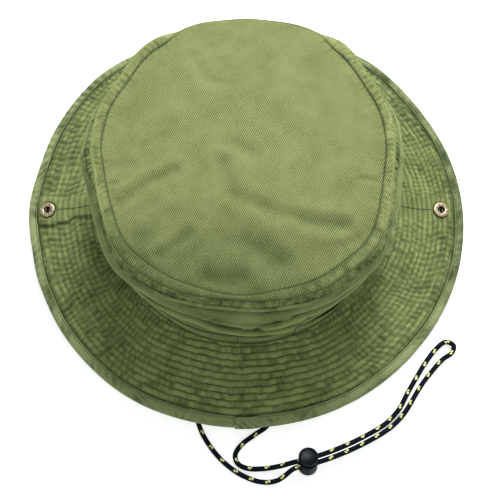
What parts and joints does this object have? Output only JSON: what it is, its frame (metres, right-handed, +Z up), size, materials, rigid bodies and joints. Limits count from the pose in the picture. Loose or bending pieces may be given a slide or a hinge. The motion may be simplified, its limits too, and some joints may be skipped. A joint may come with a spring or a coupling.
{
  "type": "boonie hat",
  "caption": "Soft boonie hat with a flat-topped crown, a row-stitched brim whose sides snap up to the crown, and a chin cord with a sprung lock.",
  "frame": {"origin": "centre of the crown tip's inner face, where the hat rests on a head or a stand", "axes": "+Z up through the crown, +Y towards the front of the hat, +X towards its right side"},
  "size_m": [0.3076, 0.3436, 0.1047],
  "materials": {
    "cotton_twill": "washed olive cotton twill, matt",
    "bias_binding": "bias-cut cotton tape, matt",
    "sweatband_cloth": "plain cotton tape, matt",
    "interlining": "undyed woven interlining",
    "antique_brass": "antiqued, satin",
    "spring_steel": "bright wire",
    "braided_cord": "braided polyester with light flecks",
    "black_plastic": "moulded, fine satin"
  },
  "bodies": {
    "hat": {"crown_tip": "cotton_twill", "tip_seam_tape": "sweatband_cloth", "crown_wall_front": "cotton_twill", "crown_wall_back": "cotton_twill", "side_seam_tape_left": "sweatband_cloth", "side_seam_tape_right": "sweatband_cloth", "sweatband": "sweatband_cloth", "foliage_band": "cotton_twill", "brim_top_front": "cotton_twill", "brim_top_back": "cotton_twill", "brim_stiffener_middle": "interlining", "brim_under_front": "cotton_twill", "brim_under_back": "cotton_twill", "binding_front": "bias_binding", "binding_back_left": "bias_binding", "binding_back_right": "bias_binding", "crown_stud_left": "antique_brass", "crown_stud_right": "antique_brass", "stud_backing_left": "antique_brass", "stud_backing_right": "antique_brass", "cord_tab_left": "cotton_twill", "cord_tab_right": "cotton_twill"},
    "brim_left": {"brim_top_left_front": "cotton_twill", "brim_top_left_back": "cotton_twill", "brim_stiffener_left": "interlining", "brim_under_left_front": "cotton_twill", "brim_under_left_back": "cotton_twill", "binding_left": "bias_binding", "snap_socket_left": "antique_brass", "snap_spring_left": "spring_steel", "snap_cap_left": "antique_brass"},
    "brim_right": {"brim_top_right_front": "cotton_twill", "brim_top_right_back": "cotton_twill", "brim_stiffener_right": "interlining", "brim_under_right_front": "cotton_twill", "brim_under_right_back": "cotton_twill", "binding_right": "bias_binding", "snap_socket_right": "antique_brass", "snap_spring_right": "spring_steel", "snap_cap_right": "antique_brass"},
    "chin_cord": {"chin_cord": "braided_cord"},
    "cord_lock": {"lock_barrel": "black_plastic", "lock_spring": "spring_steel"},
    "lock_button": {"lock_plunger": "black_plastic"}
  },
  "joints": [
    {"name": "fold_left", "type": "hinge", "parent": "hat", "child": "brim_left", "pos_m": [-0.0975, 0, -0.0823], "axis": [0, 1, 0], "range_deg": [0, 90]},
    {"name": "fold_right", "type": "hinge", "parent": "hat", "child": "brim_right", "pos_m": [0.0975, 0, -0.0823], "axis": [0, -1, 0], "range_deg": [0, 90]},
    {"name": "cord_swing", "type": "hinge", "parent": "hat", "child": "chin_cord", "pos_m": [0, 0, -0.0915], "axis": [1, 0, 0], "range_deg": [0, 95]},
    {"name": "lock_slide", "type": "hinge", "parent": "chin_cord", "child": "cord_lock", "pos_m": [-0.01231, 0.01722, -0.0931], "axis": [0.074, 0.0204, 0.9971], "range_deg": [0, 12.5]},
    {"name": "button_press", "type": "slide", "parent": "cord_lock", "child": "lock_button", "axis": [0.0117, -0.3173, -0.9483], "range_m": [0, 0.0022], "stiffness_N_per_m": 150, "springref_m": -0.002, "deforming": ["lock_spring"]}
  ]
}
